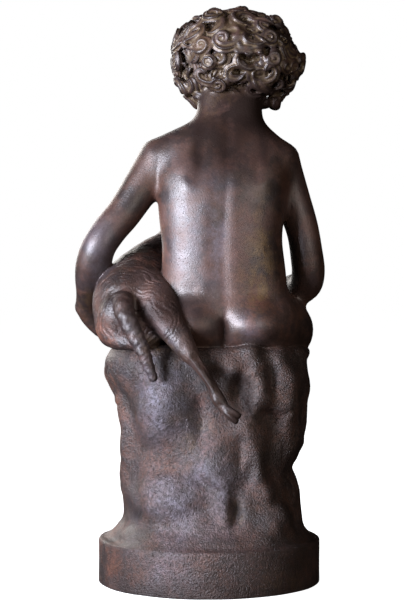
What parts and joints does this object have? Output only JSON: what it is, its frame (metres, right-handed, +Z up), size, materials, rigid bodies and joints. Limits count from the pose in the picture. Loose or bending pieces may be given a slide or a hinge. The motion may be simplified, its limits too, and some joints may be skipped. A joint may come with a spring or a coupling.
{
  "type": "cast iron garden statue",
  "caption": "Garden statue of a curly-haired child seated on a rock over a round plinth, one arm round a lamb, for standing on level ground.",
  "frame": {"origin": "centre of the round plinth's underside, on the ground", "axes": "+Z up, the seated child faces -Y, +X towards the child's left, where the lamb lies"},
  "size_m": [0.4315, 0.4197, 0.9941],
  "materials": {
    "cast_iron": "dark brown patina, semi-gloss, with reddish rust at the edges and worn bronze-brown patches"
  },
  "bodies": {
    "root": {"statue": "cast_iron"}
  },
  "joints": []
}
